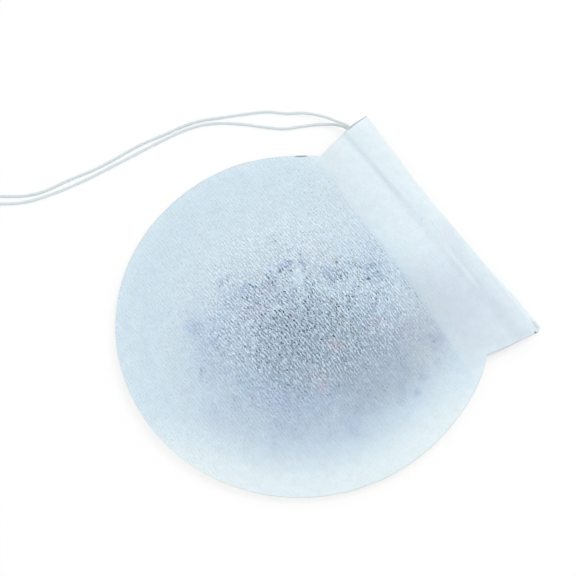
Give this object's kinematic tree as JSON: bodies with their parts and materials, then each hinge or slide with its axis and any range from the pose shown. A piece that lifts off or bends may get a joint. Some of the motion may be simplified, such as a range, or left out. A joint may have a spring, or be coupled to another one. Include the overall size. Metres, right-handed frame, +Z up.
{
  "type": "drawstring tea filter bag",
  "caption": "Round drawstring filter bag of translucent paper, filled with loose tea, with a flat hemmed neck and a loose double string tied in a knot.",
  "frame": {"origin": "on the table, under the middle of the paper bag's box", "axes": "+X along the mouth towards its right corner, +Y from the round body out through the mouth, +Z up from the table through the front sheet"},
  "size_m": [0.1324, 0.1026, 0.0089],
  "materials": {
    "filter_paper": "matte, translucent, fibrous",
    "dried_tea": "dry, crumpled leaves and petals",
    "cotton_string": "twisted cotton, matte"
  },
  "bodies": {
    "root": {"front_sheet": "filter_paper", "back_sheet": "filter_paper", "tea_filling": "dried_tea", "drawstring": "cotton_string", "drawstring_front_end": "cotton_string", "drawstring_back_end": "cotton_string", "drawstring_knot": "cotton_string"}
  },
  "joints": []
}
